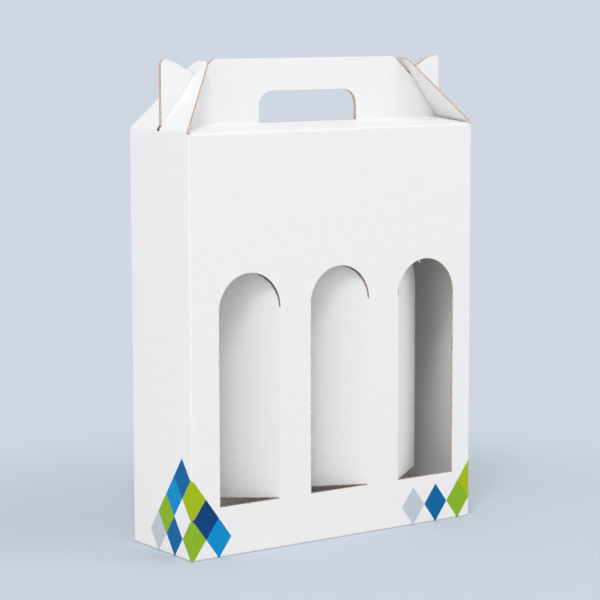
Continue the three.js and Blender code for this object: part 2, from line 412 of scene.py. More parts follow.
@dataclass(frozen=True)
class Case:
    """The case's sizes in millimetres. The first five come from the frame."""

    board: float
    half_width: float
    half_depth: float
    height: float
    lock_height: float
    corner_radius: float = 0.8
    seam_setback: float = 0.6
    strip_trim: float = 8.0
    joint_run: float = 1.5
    joint_inset: float = 1.0
    post_foot: float = 0.5
    post_drop: float = 0.4

    @classmethod
    def from_frame(cls) -> "Case":
        """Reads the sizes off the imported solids.

        Returns:
            The case.
        """
        low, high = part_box("bottom_front_flap")
        board = (high.z - low.z) / MM
        return cls(
            board=board,
            half_width=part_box("right_side_panel")[1].x / MM,
            half_depth=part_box("back_panel")[1].y / MM,
            height=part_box("front_shoulder")[0].z / MM + board,
            lock_height=joint("left_lock_crease")["pos_m"][2] / MM,
        )

    @property
    def inner_half_width(self) -> float:
        """Half the clear width."""
        return self.half_width - self.board

    @property
    def inner_half_depth(self) -> float:
        """Half the clear depth."""
        return self.half_depth - self.board

    @property
    def long_half(self) -> float:
        """Half the width over which flaps take over from the front and back walls."""
        return self.inner_half_width - self.joint_inset

    @property
    def near_half(self) -> float:
        """The width over which flaps take over from a side wall, before the case's middle line."""
        return self.inner_half_depth - self.joint_inset

    def far_half(self, side: Side) -> float:
        """The same width past the middle line, which on the right wall stops short of the glued seam."""
        return self.near_half - (self.board if side is Side.RIGHT else 0.0)


@dataclass(frozen=True)
class Wall:
    """A wall of the case: its stretch of the dieline, and where that is on the case.

    before is the distance from the wall's start to the middle line of the case, and out is the distance of
    its outside face from the middle of the case.
    """

    start: float
    length: float
    before: float
    out: float
    along: Vector

    @property
    def end(self) -> float:
        """Where the wall ends on the dieline."""
        return self.start + self.length

    @property
    def centre(self) -> float:
        """The case's middle line on the dieline, which on the back wall isn't the wall's own middle."""
        return self.start + self.before

    def placing(self) -> Matrix:
        """The way from the dieline to the wall.

        Returns:
            A matrix from millimetres to metres.
        """
        facing = self.along.cross(UP)
        turn = Matrix((self.along, UP, facing)).transposed().to_4x4()
        foot = Matrix.Translation(facing * self.out - self.along * self.centre)
        return Matrix.Scale(MM, 4) @ foot @ turn

    def sheet(self, name: str, board: float, creases: list[Crease], *loops: list[Point]) -> Sheet:
        """A sheet that hangs on the wall, from its outline and its holes about the case's middle line."""
        outline, *holes = [[(self.centre + across, up) for across, up in loop] for loop in loops]
        return Sheet(name, outline, self.placing(), board, holes, creases)


@dataclass
class Dieline:
    """The flat blank's walls, from the back wall's glued edge round to the seam strip inside it."""

    case: Case
    creases: list[Crease] = field(default_factory=list)
    walls: dict[Side, Wall] = field(default_factory=dict)
    strip: Wall = field(init=False)

    def __post_init__(self) -> None:
        """Lays the walls out one after another."""
        case = self.case
        wide, deep = case.inner_half_width, case.inner_half_depth
        seam = case.half_width - case.seam_setback
        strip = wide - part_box("glue_seam_flap")[0].x / MM
        back = Wall(0.0, seam + wide, seam, case.half_depth, Vector((-1, 0, 0)))
        left = self.after(back, 2 * deep, deep, case.half_width)
        front = self.after(left, 2 * wide, wide, case.half_depth)
        right = self.after(front, 2 * deep - case.board, deep, case.half_width)
        self.strip = self.after(right, strip, wide, deep)
        self.walls = {Side.BACK: back, Side.LEFT: left, Side.FRONT: front, Side.RIGHT: right}

    def after(self, wall: Wall, length: float, before: float, out: float) -> Wall:
        """The wall that follows another, past an upright crease.

        Args:
            wall: The wall before it.
            length: Length of the new wall between its corners.
            before: Distance from its start to the middle line of the case.
            out: Distance of its outside face from the middle of the case.

        Returns:
            The new wall. The crease before it joins the list of creases.
        """
        crease = Crease(wall.end, QUARTER, self.case.corner_radius, upright=True)
        self.creases.append(crease)
        return Wall(crease.past, length, before, out, UP.cross(wall.along))


@dataclass(frozen=True)
class BlankPart:
    """A sub-assembly that is cut from the flat blank."""

    dieline: Dieline

    @property
    def case(self) -> Case:
        """The case's sizes."""
        return self.dieline.case


# Windows


@dataclass(frozen=True)
class Nick:
    """A small tab where the die left a flap uncut, at a distance along the cut from its far foot."""

    along: float
    depth: float


NICKS = {
    Bay.LEFT: (Nick(along=93.0, depth=1.2),),
    Bay.MIDDLE: (Nick(along=214.0, depth=0.4),),
    Bay.RIGHT: (Nick(along=48.0, depth=0.8), Nick(along=192.0, depth=2.0)),
}


@dataclass(frozen=True)
class Window(BlankPart):
    """One arched window, with the flap that folds in on one of its upright edges.

    away is 1 where the flap lies to the right of its crease, and -1 where it lies to the left.
    """

    bay: Bay
    crease_x: float
    away: int
    fold: float
    width: float = 54.0
    sill: float = 37.5
    straight: float = 143.2
    kerf: float = 0.2
    crease_radius: float = 0.4
    crease_lines: int = 5
    nick_width: float = 1.0
    arch_steps: int = 36

    @classmethod
    def from_frame(cls, dieline: Dieline, bay: Bay) -> "Window":
        """Reads a window's crease off its joint.

        Args:
            dieline: The flat blank.
            bay: The window's place.

        Returns:
            The window.
        """
        hinge = joint(f"{bay.value}_window_crease")
        return cls(
            dieline=dieline,
            bay=bay,
            crease_x=hinge["pos_m"][0] / MM,
            away=1 if hinge["axis"][2] > 0 else -1,
            fold=-math.radians(hinge["range_deg"][0]),
        )

    @property
    def half(self) -> float:
        """Half the width, which is the arch's radius."""
        return self.width / 2

    @property
    def spring(self) -> float:
        """Height at which the arch starts."""
        return self.sill + self.straight

    @property
    def wall(self) -> Wall:
        """The front wall."""
        return self.dieline.walls[Side.FRONT]

    @property
    def edge(self) -> float:
        """The crease's place on the dieline, seen from the wall."""
        return self.wall.centre + self.crease_x

    @property
    def crease(self) -> Crease:
        """The flap's crease, whose near panel is a narrow strip beside the opening."""
        lines = self.crease_lines
        return Crease(self.edge, self.fold, self.crease_radius, upright=True, side=self.away, lines=lines)

    @property
    def strip(self) -> float:
        """The far side of that strip, where it joins the wall."""
        return self.crease.first - self.away * self.case.joint_run

    def on_cut(self, edge: float, along: float, inside: float) -> Point:
        """A place on or inside the arched cut.

        Args:
            edge: The crease's place on the dieline.
            along: Distance along the cut from the foot farthest from the crease.
            inside: Distance from the cut, towards the middle of the window.

        Returns:
            The place on the dieline.
        """
        if along < self.straight:
            return (edge + self.away * (self.width - inside), self.sill + along)
        turn = (along - self.straight) / self.half
        reach = self.half - inside
        across = self.half + reach * math.cos(turn)
        return (edge + self.away * across, self.spring + reach * math.sin(turn))

    def cut(self, edge: float, play: float) -> list[Point]:
        """The arched cut, from the crease over the arch and down to the far foot, stepped at the nicks.

        Args:
            edge: The crease's place on the dieline.
            play: How far the line lies inside the opening.

        Returns:
            Points of the cut, without the foot itself.
        """
        reach = self.nick_width / 2 + play
        arch, steps = math.pi * self.half, self.arch_steps
        marks = [(self.straight + arch * step / steps, play) for step in range(steps + 1)]
        for nick in NICKS[self.bay]:
            low, high, tip = nick.along - reach, nick.along + reach, play + nick.depth
            marks = [mark for mark in marks if abs(mark[0] - nick.along) > reach]
            marks += [(low, play), (low, tip), (high, tip), (high, play)]
        marks.sort(key=lambda mark: mark[0])
        return [self.on_cut(edge, along, inside) for along, inside in reversed(marks)]

    def opening(self) -> list[Point]:
        """The hole in the front wall, with a step along the crease where the flap's strip joins.

        Returns:
            The hole's outline.
        """
        low = self.sill + self.kerf
        return [
            (self.edge, self.sill),
            (self.edge, low),
            (self.strip, low),
            (self.strip, self.spring),
            *self.cut(self.edge, 0.0),
            (self.edge + self.away * self.width, self.sill),
        ]

    def flap(self) -> list[Point]:
        """The flap with its strip, laid flat in the opening.

        Returns:
            The flap's outline.
        """
        low = self.sill + self.kerf
        past = self.crease.past
        return [
            (self.strip, low),
            (self.strip, self.spring),
            *self.cut(past, self.kerf),
            (past + self.away * (self.width - self.kerf), low),
        ]

    def make(self, finish: BoardFinish) -> Piece:
        """Builds the flap, folded on its crease.

        Args:
            finish: The board's materials.

        Returns:
            The flap.
        """
        body = f"{self.bay.value}_window"
        board = self.case.board
        sheet = Sheet(f"{body}_leaf", self.flap(), self.wall.placing(), board, creases=[self.crease])
        made = sheet.make(finish)
        bend_on_crease(made, self.crease)
        return stand_for(made, Slot.PRINTED, f"window_flap_{self.bay.value}")


# Top: shoulders with the handle, and lock flaps


@dataclass(frozen=True)
class LockFlap(BlankPart):
    """An end flap with a slit, which leans in over the ears."""

    lean: float = math.radians(38)
    length: float = 61.7
    base_inset: float = 2.2
    half_tip: float = 8.25
    tip_radius: float = 8.0
    slit_length: float = 49.4
    slit_play: float = 0.32
    slit_drift: float = 0.2
    crease_radius: float = 2.4
    crease_lines: int = 8
    tip_steps: int = 10

    @property
    def half_base(self) -> float:
        """Half the width of the flap at its crease."""
        return self.case.half_depth - self.base_inset

    @property
    def half_slit(self) -> float:
        """Half the width of the slit, which clears both handle panels."""
        return -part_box("front_handle_panel")[0].y / MM + self.slit_play

    @property
    def mitre(self) -> float:
        """How far the inner corner of the crease lies below the outer one."""
        return self.case.board * math.tan(self.lean / 2)

    @property
    def crease(self) -> Crease:
        """The fold from the side wall to the flap."""
        corner = self.case.lock_height - self.mitre
        return Crease(corner, self.lean, self.crease_radius, lines=self.crease_lines)

    @property
    def foot(self) -> float:
        """The outer corner of the crease on the dieline, seen from the flap."""
        return self.crease.past - self.mitre

    @property
    def joint_height(self) -> float:
        """Height at which the flap takes over from the wall."""
        return self.crease.first - self.case.joint_run

    def inside(self, along: float) -> Vector:
        """A place on the closed right flap's inner face.

        Args:
            along: Distance from the crease.

        Returns:
            Its distance from the middle of the case, and its height.
        """
        across = self.case.half_width - along * math.sin(self.lean) - self.case.board * math.cos(self.lean)
        up = self.case.lock_height + along * math.cos(self.lean) - self.case.board * math.sin(self.lean)
        return Vector((across, up))

    def outline(self, side: Side) -> list[Point]:
        """The flap about the middle line, with the strip of wall that it bends on.

        Args:
            side: Left or right.

        Returns:
            The flap's outline.
        """
        edge = Vector((self.half_base - self.half_tip, -self.length)).normalized()
        tangent = self.tip_radius / math.tan(math.acos(-edge.x) / 2)
        start = math.degrees(math.atan2(edge.x, -edge.y))
        tip = (self.half_tip - tangent, self.foot + self.length - self.tip_radius)
        right_half = [(self.half_base, self.foot), *arc(tip, self.tip_radius, start, 90, self.tip_steps)]
        base = self.joint_height
        return [(-self.case.near_half, base), (self.case.far_half(side), base), *both_halves(right_half)]

    def slit(self) -> list[Point]:
        """The slit from the crease up, with the die a little off towards the glued edge.

        Returns:
            The slit's outline.
        """
        low, high = self.crease.first, self.foot + self.slit_length
        near, far = -self.half_slit - self.slit_drift, self.half_slit - self.slit_drift
        return [(near, low), (far, low), (far, high), (near, high)]

    def make(self, side: Side, finish: BoardFinish) -> Piece:
        """Builds a lock flap, folded on its crease.

        Args:
            side: Left or right.
            finish: The board's materials.

        Returns:
            The flap.
        """
        body = f"{side.value}_lock"
        board = self.case.board
        wall = self.dieline.walls[side]
        made = wall.sheet(f"{body}_leaf", board, [self.crease], self.outline(side), self.slit()).make(finish)
        bend_on_crease(made, self.crease)
        return stand_for(made, Slot.PRINTED, f"{body}_flap")


@dataclass(frozen=True)
class TopLeaf(BlankPart):
    """A shoulder and its handle panel in one sheet, with hand hole, end notches and ears."""

    lock: LockFlap
    crease_radius: float = 0.4
    handle_crease_radius: float = 0.3
    shoulder_end_play: float = 0.3
    hole_left: float = -43.0
    hole_right: float = 47.0
    hole_height: float = 23.6
    hole_radius: float = 12.0
    notch_play: float = 1.2
    notch_run: float = 3.0
    notch_slope: float = math.radians(40)
    ear_heel: float = 3.6
    ear_slope: float = math.radians(30)
    ear_corner: float = 3.5
    ear_sweep: float = 50.3
    corner_steps: int = 8

    @property
    def handle_low(self) -> Vector:
        """The front handle panel's outer foot, in millimetres."""
        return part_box("front_handle_panel")[0] / MM

    @property
    def handle_high(self) -> Vector:
        """The front handle panel's inner top corner, in millimetres."""
        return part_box("front_handle_panel")[1] / MM

    @property
    def level(self) -> float:
        """How far a shoulder reaches in from its wall, measured level."""
        return self.case.inner_half_depth + self.handle_low.y

    @property
    def slope(self) -> float:
        """How far a shoulder tilts from level."""
        return math.atan2(self.handle_low.z - self.case.height, self.level)

    @property
    def joint_height(self) -> float:
        """Height at which the leaf takes over from the wall."""
        return self.creases()[0].first - self.case.joint_run

    def creases(self) -> list[Crease]:
        """The folds of the leaf.

        Returns:
            The fold from wall to shoulder, and the one from shoulder to handle.
        """
        turn = QUARTER - self.slope
        corner = self.case.height - self.case.board / math.cos(self.slope)
        out = Crease(corner, turn, self.crease_radius)
        climb = self.handle_low.z - corner
        run = self.level * math.cos(self.slope) + climb * math.sin(self.slope)
        return [out, Crease(out.past + run, -turn, self.handle_crease_radius)]

    def shoulder_end(self) -> float:
        """Where a shoulder ends at the handle.

        Returns:
            Half its length there, clear of the lock flap's slope.
        """
        crease = self.lock.inside(0.0)
        rise = self.handle_low.z - crease.y
        return crease.x - rise * math.tan(self.lock.lean) - self.shoulder_end_play

    def notch_foot(self) -> Vector:
        """The lowest point of the right notch.

        Returns:
            Its place across and up, under the slit's end of the closed lock flap.
        """
        slope = self.notch_slope
        clear = Vector((math.sin(slope), math.cos(slope))) * self.notch_play
        run = Vector((math.cos(slope), -math.sin(slope))) * self.notch_run
        return self.lock.inside(self.lock.slit_length) - clear + run

    def ear(self, foot: Vector, pivot: Vector, top: float) -> list[Point]:
        """The right ear's edge, from its outer side to the foot of the notch.

        Args:
            foot: The notch's foot.
            pivot: The crease on which the lock flap swings over the ear.
            top: Height of the handle's top edge.

        Returns:
            Points of the edge, whose top is rounded about that crease.
        """
        sweep = self.ear_sweep
        heel = foot + Vector((0.0, self.ear_heel))
        climb = Vector((math.cos(self.ear_slope), math.sin(self.ear_slope))) * sweep
        meets = intersect_line_sphere_2d(heel, heel + climb, pivot, sweep)
        slope_end = (meets[0] or meets[1]) - pivot
        steep = math.degrees(math.atan2(slope_end.y, slope_end.x))
        level = math.degrees(math.pi - math.asin(min(1.0, (top - pivot.y) / sweep)))
        corner = (self.handle_high.x - self.ear_corner, top - self.ear_corner)
        return [
            *arc(corner, self.ear_corner, 0, 90, self.corner_steps),
            *arc(tuple(pivot), sweep, level, steep, self.corner_steps),
            tuple(heel),
            tuple(foot),
        ]

    def right_half(self) -> list[Point]:
        """The right half of the outline.

        Returns:
            Points from the wall up to the start of the handle's top edge.
        """
        out, back = self.creases()
        at_wall = self.case.long_half
        at_handle = self.shoulder_end()
        drop = Vector((0.0, back.past - self.handle_low.z))
        foot = self.notch_foot() + drop
        pivot = Vector((self.case.half_width, self.case.lock_height)) + drop
        top = self.handle_high.z + drop.y
        return [
            (at_wall, self.joint_height),
            (at_wall, out.last),
            (at_handle, back.first),
            (at_handle, back.last),
            (self.handle_high.x, back.last),
            *self.ear(foot, pivot, top),
            (foot.x - (top - foot.y) / math.tan(self.notch_slope), top),
        ]

    def hand_hole(self, side: Side) -> list[Point]:
        """The hand hole, from the handle's crease up.

        Args:
            side: Front, or back, which is seen from the other side.

        Returns:
            The hole's outline, about the middle line.
        """
        left, right = self.hole_left, self.hole_right
        if side is Side.BACK:
            left, right = -right, -left
        back = self.creases()[1]
        radius = self.hole_radius
        high = back.past + self.hole_height - radius
        return [
            (left, back.first),
            (right, back.first),
            *arc((right - radius, high), radius, 0, 90, self.corner_steps),
            *arc((left + radius, high), radius, 90, 180, self.corner_steps),
        ]

    def make(self, side: Side, finish: BoardFinish) -> Piece:
        """Builds a leaf.

        Args:
            side: Front or back.
            finish: The board's materials.

        Returns:
            The leaf.
        """
        name = side.value
        loops = both_halves(self.right_half()), self.hand_hole(side)
        leaf = self.dieline.walls[side].sheet(f"{name}_top_leaf", self.case.board, self.creases(), *loops)
        return fix_to_carton(leaf.make(finish), Slot.PRINTED, f"{name}_shoulder", f"{name}_handle_panel")


# Base


@dataclass(frozen=True)
class Base(BlankPart):
    """The lock base: front and back flaps under side flaps and their glued corners."""

    crease_radius: float = 0.4
    seam_step: float = 8.0
    seam_run: float = 14.0
    seam_gap: float = 0.6
    seam_steps: int = 24
    wall_play: float = 0.4
    crease_gap: float = 0.3
    tip_setback: float = 1.5
    side_climb: float = 12.0
    climb_radius: float = 6.0
    side_reach: float = 26.0
    side_taper: float = 6.0
    corner_foot: float = 10.0

    @property
    def climb_angle(self) -> float:
        """How steeply a side flap climbs onto the flaps under it."""
        return math.atan2(self.case.board, self.side_climb)

    @property
    def apart(self) -> float:
        """Half the gap at a side flap's diagonal crease, measured along a wall."""
        return self.crease_gap / math.sqrt(2)

    @property
    def half(self) -> float:
        """Half the depth over the side flaps."""
        return self.case.inner_half_depth - self.wall_play

    @property
    def run(self) -> float:
        """How far a side flap's diagonal crease runs."""
        return self.half - self.tip_setback

    @property
    def long_crease(self) -> Crease:
        """The fold from the front or back wall to its flap."""
        return Crease(self.case.board, QUARTER, self.crease_radius, side=-1)

    @property
    def side_creases(self) -> list[Crease]:
        """The fold from a side wall to its flap, and the bend where the flap has climbed up."""
        foot = Crease(self.case.board, QUARTER + self.climb_angle, self.crease_radius, side=-1)
        return [foot, Crease(foot.past - self.side_climb, -self.climb_angle, self.climb_radius, side=-1)]

    @property
    def long_joint(self) -> float:
        """Height at which the front and back walls take over from their flaps."""
        return self.long_crease.first + self.case.joint_run

    @property
    def side_joint(self) -> float:
        """Height at which the side walls take over from their flaps."""
        return self.side_creases[0].first + self.case.joint_run

    def long_flap(self, side: Side, finish: BoardFinish) -> Piece:
        """Builds the front or the back flap.

        Args:
            side: Front or back.
            finish: The board's materials.

        Returns:
            The flap.
        """
        crease = self.long_crease
        end = self.case.long_half
        body = self.case.inner_half_width - self.side_climb - self.wall_play
        diagonal = crease.past - self.wall_play + self.apart - self.case.inner_half_width
        edge = self.case.inner_half_depth - self.seam_gap / 2
        low, high = crease.past - edge - self.seam_step, crease.past - edge + self.seam_step
        outline = [
            (end, self.long_joint),
            (-end, self.long_joint),
            (-end, crease.last),
            (-body, crease.last),
            (-body, high),
            *s_curve((-self.seam_run, high), (self.seam_run, low), self.seam_steps),
            (body, low),
            (body, diagonal + body),
            (end, diagonal + end),
        ]
        flap = self.dieline.walls[side].sheet(f"{side.value}_base_leaf", self.case.board, [crease], outline)
        return fix_to_carton(flap.make(finish), Slot.PRINTED, f"bottom_{side.value}_flap")

    def side_flap(self, side: Side, finish: BoardFinish) -> Piece:
        """Builds the left or the right flap.

        Args:
            side: Left or right.
            finish: The board's materials.

        Returns:
            The flap.
        """
        creases = self.side_creases
        foot, climb = creases
        board = self.case.board
        near, far = self.case.near_half, self.case.far_half(side)
        climbed = board * math.sin(self.climb_angle) + self.side_climb * math.cos(self.climb_angle)
        level = climb.past + climbed
        outline = [
            (far, self.side_joint),
            (-near, self.side_joint),
            (-near, foot.last),
            (-self.tip_setback + self.apart, level - self.run),
            (self.half - self.side_taper, level - self.side_reach),
            (far, foot.last),
        ]
        flap = self.dieline.walls[side].sheet(f"{side.value}_base_leaf", board, creases, outline)
        return fix_to_carton(flap.make(finish), Slot.INNER, f"bottom_{side.value}_flap")

    def glued_corner(self, side: Side, finish: BoardFinish) -> Piece:
        """Builds the corner that is glued to the front or the back flap.

        Args:
            side: Left or right.
            finish: The board's materials.

        Returns:
            The corner.
        """
        wide = self.case.inner_half_width
        outline = [
            (wide - self.apart, self.half),
            (wide - self.run - self.corner_foot, self.half),
            (wide - self.run, self.tip_setback + self.apart),
        ]
        under = Matrix.Diagonal((1, -1, -1, 1))
        turned = Matrix.Rotation(math.pi if side is Side.LEFT else 0.0, 4, "Z")
        lifted = Matrix.Translation(UP * self.case.board)
        placing = Matrix.Scale(MM, 4) @ turned @ lifted @ under
        corner = Sheet(f"{side.value}_base_corner", outline, placing, self.case.board)
        return fix_to_carton(corner.make(finish), Slot.INNER, f"bottom_{side.value}_glue_corner")


# Walls


@dataclass(frozen=True)
class Sleeve(BlankPart):
    """The four walls and the seam strip, in one sheet with rounded corners."""

    windows: list[Window]
    top: TopLeaf
    lock: LockFlap
    base: Base

    def rim(self, post: float, long_joint: float, side_joint: float) -> list[Point]:
        """The foot or the top of the walls, stepped where flaps take over from them.

        Args:
            post: Height of the four corner posts.
            long_joint: Height of the joint on the front and back walls.
            side_joint: Height of the joint on the side walls.

        Returns:
            Points from the glued edge to the last side wall.
        """
        points = [(0.0, post)]
        for side, wall in self.dieline.walls.items():
            if side in (Side.FRONT, Side.BACK):
                before, after, level = self.case.long_half, self.case.long_half, long_joint
            else:
                before, after, level = self.case.near_half, self.case.far_half(side), side_joint
            low, high = wall.centre - before, wall.centre + after
            points += [(low, post), (low, level), (high, level), (high, post)]
        return points

    def outline(self) -> list[Point]:
        """The whole outline of the walls and the strip.

        Returns:
            Points along the foot, round the strip and back along the top.
        """
        case, line = self.case, self.dieline
        foot, head = case.post_foot, case.height - case.post_drop
        low_rim = self.rim(foot, self.base.long_joint, self.base.side_joint)
        high_rim = self.rim(head, self.top.joint_height, self.lock.joint_height)
        strip_low, strip_high = (corner.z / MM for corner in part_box("glue_seam_flap"))
        seam = line.creases[-1].first
        strip = [
            (seam, foot),
            (seam, strip_low),
            (line.strip.end, strip_low + case.strip_trim),
            (line.strip.end, strip_high - case.strip_trim),
            (seam, strip_high),
            (seam, head),
        ]
        return low_rim + strip + list(reversed(high_rim))

    def make(self, finish: BoardFinish) -> Piece:
        """Builds the walls with their window openings.

        Args:
            finish: The board's materials.

        Returns:
            The walls.
        """
        line = self.dieline
        holes = [window.opening() for window in self.windows]
        placing = line.walls[Side.BACK].placing()
        walls = Sheet("case_walls", self.outline(), placing, self.case.board, holes, line.creases)
        nodes = [f"{side}_panel" for side in ("front", "back", "left_side", "right_side")]
        return fix_to_carton(walls.make(finish), Slot.PRINTED, *nodes, "glue_seam_flap")


# Finishes


class Nodes:
    """The node tree of a material or a world, with short ways to add to it."""

    def __init__(self, owner: Shaded) -> None:
        """Empties the tree.

        Args:
            owner: A new material or world.
        """
        owner.use_nodes = True
        self.owner = owner
        self.tree = owner.node_tree
        self.tree.nodes.clear()

    def add(self, kind: str, feeds: dict[str | int, object] | None = None, **settings: object) -> Node:
        """Adds a node.

        Args:
            kind: The node's type, without its ShaderNode prefix.
            feeds: What its inputs get, by their names or places. An output is linked, and a number, a colour
                or a vector becomes the input's own value.
            settings: Properties of the node.

        Returns:
            The node.
        """
        node = self.tree.nodes.new("ShaderNode" + kind)
        for name, value in settings.items():
            setattr(node, name, value)
        for key, value in (feeds or {}).items():
            if isinstance(value, Socket):
                self.tree.links.new(value, node.inputs[key])
            else:
                node.inputs[key].default_value = value
        return node

    def math(self, operation: str, *values: object) -> Socket:
        """A math node's result, from numbers or outputs in the order of its inputs."""
        return self.add("Math", dict(enumerate(values)), operation=operation).outputs[0]

    def mix(self, share: object, first: object, second: object) -> Socket:
        """A mix of two colours, where share is how much of the second."""
        feeds = {"Factor": share, MIX_FIRST: first, MIX_SECOND: second}
        return self.add("Mix", feeds, data_type="RGBA").outputs[MIX_RESULT]

    def blend(self, share: Socket, first: Node, second: Node) -> Node:
        """A mix of two shaders, where share is how much of the second."""
        return self.add("MixShader", {0: share, 1: first.outputs[0], 2: second.outputs[0]})

    def map_range(self, value: Socket, old: Span, new: Span, **settings: object) -> Socket:
        """A value moved from an old range to a new one, and kept inside it."""
        return self.add("MapRange", dict(enumerate((value, *old, *new))), **settings).outputs[0]

    def noise(self, place: Socket, size: float) -> Socket:
        """Noise on the dieline with blotches of about that size, mostly inside NOISE_RANGE."""
        feeds = {"Vector": place, "Scale": 1 / size, "Detail": NOISE_DETAIL}
        return self.add("TexNoise", feeds).outputs["Fac"]

    def cloud(self, place: Socket, size: float, span: Span = UNIT) -> Socket:
        """Noise on the dieline, moved to another range."""
        return self.map_range(self.noise(place, size), NOISE_RANGE, span)

    def flute(self, up: Socket) -> Socket:
        """The flute's wave, which climbs the walls, from -1 to 1."""
        return self.math("SINE", self.math("MULTIPLY", up, 2 * math.pi / FLUTE_PITCH))

    def dieline(self) -> tuple[Socket, Socket, Socket, Socket]:
        """The whole place on the dieline, and its three parts u, v and w."""
        place = self.add("Attribute", attribute_name=DIELINE).outputs["Vector"]
        return place, *self.add("SeparateXYZ", {0: place}).outputs

    def paper(
        self, colour: Socket, roughness: Socket, specular: float, relief: Socket, height: float
    ) -> bpy.types.Material:
        """Ends the tree in a surface of paper.

        Args:
            colour: Its colour.
            roughness: Its roughness.
            specular: Its specular level, the same all over.
            relief: Its relief.
            height: What a relief of 1 stands for, in millimetres.

        Returns:
            The material.
        """
        bump = self.add("Bump", {"Height": relief, "Distance": height * MM})
        feeds = {"Base Color": colour, "Roughness": roughness, "Normal": bump.outputs[0]}
        return self.finish(self.add("BsdfPrincipled", {**feeds, "Specular IOR Level": specular}))

    def finish(self, shader: Node) -> Shaded:
        """Ends the tree in a shader.

        Args:
            shader: The shader.

        Returns:
            The material or the world.
        """
        kind = "OutputWorld" if isinstance(self.owner, bpy.types.World) else "OutputMaterial"
        self.add(kind, {"Surface": shader.outputs[0]})
        return self.owner


@dataclass(frozen=True)
class Lozenge:
    """One printed lozenge, in half steps from a front corner of the case and from its foot."""

    ink: Ink
    corner: Side
    column: int
    row: int


@dataclass(frozen=True)
class Print:
    """Harlequin lozenges at the foot of the case, point to point round its front corners."""

    half_width: float = 11.0
    half_height: float = 15.0
    cloud_size: float = 1.5
    cover: Span = (0.996, 1.0)
    lozenges: tuple[Lozenge, ...] = (
        Lozenge(Ink.MIST, Side.LEFT, -4, 1),
        Lozenge(Ink.BLUE, Side.LEFT, -2, 1),
        Lozenge(Ink.GREEN, Side.LEFT, 0, 1),
        Lozenge(Ink.SKY, Side.LEFT, 2, 1),
        Lozenge(Ink.GREEN, Side.LEFT, -3, 2),
        Lozenge(Ink.NAVY, Side.LEFT, 1, 2),
        Lozenge(Ink.SKY, Side.LEFT, -2, 3),
        Lozenge(Ink.LIME, Side.LEFT, 0, 3),
        Lozenge(Ink.BLUE, Side.LEFT, -1, 4),
        Lozenge(Ink.MIST, Side.RIGHT, -5, 1),
        Lozenge(Ink.BLUE, Side.RIGHT, -3, 1),
        Lozenge(Ink.GREEN, Side.RIGHT, -1, 1),
        Lozenge(Ink.LIME, Side.RIGHT, 0, 2),
        Lozenge(Ink.SKY, Side.RIGHT, 1, 1),
    )

    def draw(self, nodes: Nodes, front: Wall, bare: Socket) -> Socket:
        """Prints the lozenges over the bare liner.

        Args:
            nodes: The material.
            front: The front wall.
            bare: The liner's colour.

        Returns:
            The printed colour.
        """
        corners = {Side.LEFT: front.start, Side.RIGHT: front.end}
        place, across, up, _ = nodes.dieline()
        cover = nodes.cloud(place, self.cloud_size, self.cover)
        colour = bare
        for lozenge in self.lozenges:
            middle = corners[lozenge.corner] + lozenge.column * self.half_width
            height = lozenge.row * self.half_height
            aside = nodes.math("ABSOLUTE", nodes.math("SUBTRACT", across, middle))
            above = nodes.math("ABSOLUTE", nodes.math("SUBTRACT", up, height))
            reach = nodes.math("MULTIPLY_ADD", above, self.half_width / self.half_height, aside)
            inside = nodes.math("LESS_THAN", reach, self.half_width)
            colour = nodes.mix(nodes.math("MULTIPLY", inside, cover), colour, lozenge.ink.value)
        return colour


@dataclass(frozen=True)
class WornRim:
    """Brown paper that shows where the die frayed the liner along the windows and their flaps.

    On the wall the fray ends at the start of the arch. climb is how much higher than that it ends far from
    the crease, and how much lower at the crease. Within sound of the crease the liner isn't cut.
    """

    paper: Colour = (0.500, 0.330, 0.250, 1.0)
    widest: float = 0.5
    flap_widest: float = 0.9
    climb: float = 12.0
    share: float = 0.75
    tear: float = 2.0
    sound: float = 1.2

    def draw(self, nodes: Nodes, windows: list[Window], liner: Socket) -> Socket:
        """Frays the cut edges of the flaps all round, and those of the wall up to the arches.

        Args:
            nodes: The material.
            windows: The windows.
            liner: The liner's colour, with the print.

        Returns:
            The worn colour.
        """
        place, across, up, _ = nodes.dieline()
        fray = nodes.cloud(place, self.tear, (0.0, self.widest))
        colour = liner
        for window in windows:
            half = window.half
            aside = nodes.math("SUBTRACT", across, window.edge + window.away * half)
            above = nodes.math("SUBTRACT", up, window.spring)
            rise = nodes.math("MAXIMUM", above, 0.0)
            squared = nodes.math("MULTIPLY_ADD", aside, aside, nodes.math("MULTIPLY", rise, rise))
            beyond = nodes.math("SUBTRACT", nodes.math("SQRT", squared), half)
            below = nodes.math("SUBTRACT", window.sill, up)
            past_edge = nodes.math("MAXIMUM", beyond, below)
            limit = nodes.math("MULTIPLY_ADD", aside, window.away * self.climb / half, window.spring)
            wall_fray = nodes.math("MULTIPLY", fray, nodes.math("LESS_THAN", up, limit))
            flap_fray = nodes.math("MULTIPLY_ADD", fray, -self.flap_widest / self.widest, -window.kerf)
            on_wall = nodes.math("LESS_THAN", past_edge, wall_fray)
            on_flap = nodes.math("GREATER_THAN", past_edge, flap_fray)
            near = nodes.math("MULTIPLY", on_wall, on_flap)
            inward = nodes.math("MULTIPLY_ADD", aside, window.away, half)
            cut = nodes.math("GREATER_THAN", nodes.math("MAXIMUM", inward, above), self.sound)
            worn = nodes.math("MULTIPLY", nodes.math("MULTIPLY", near, cut), self.share)
            colour = nodes.mix(worn, colour, self.paper)
        return colour


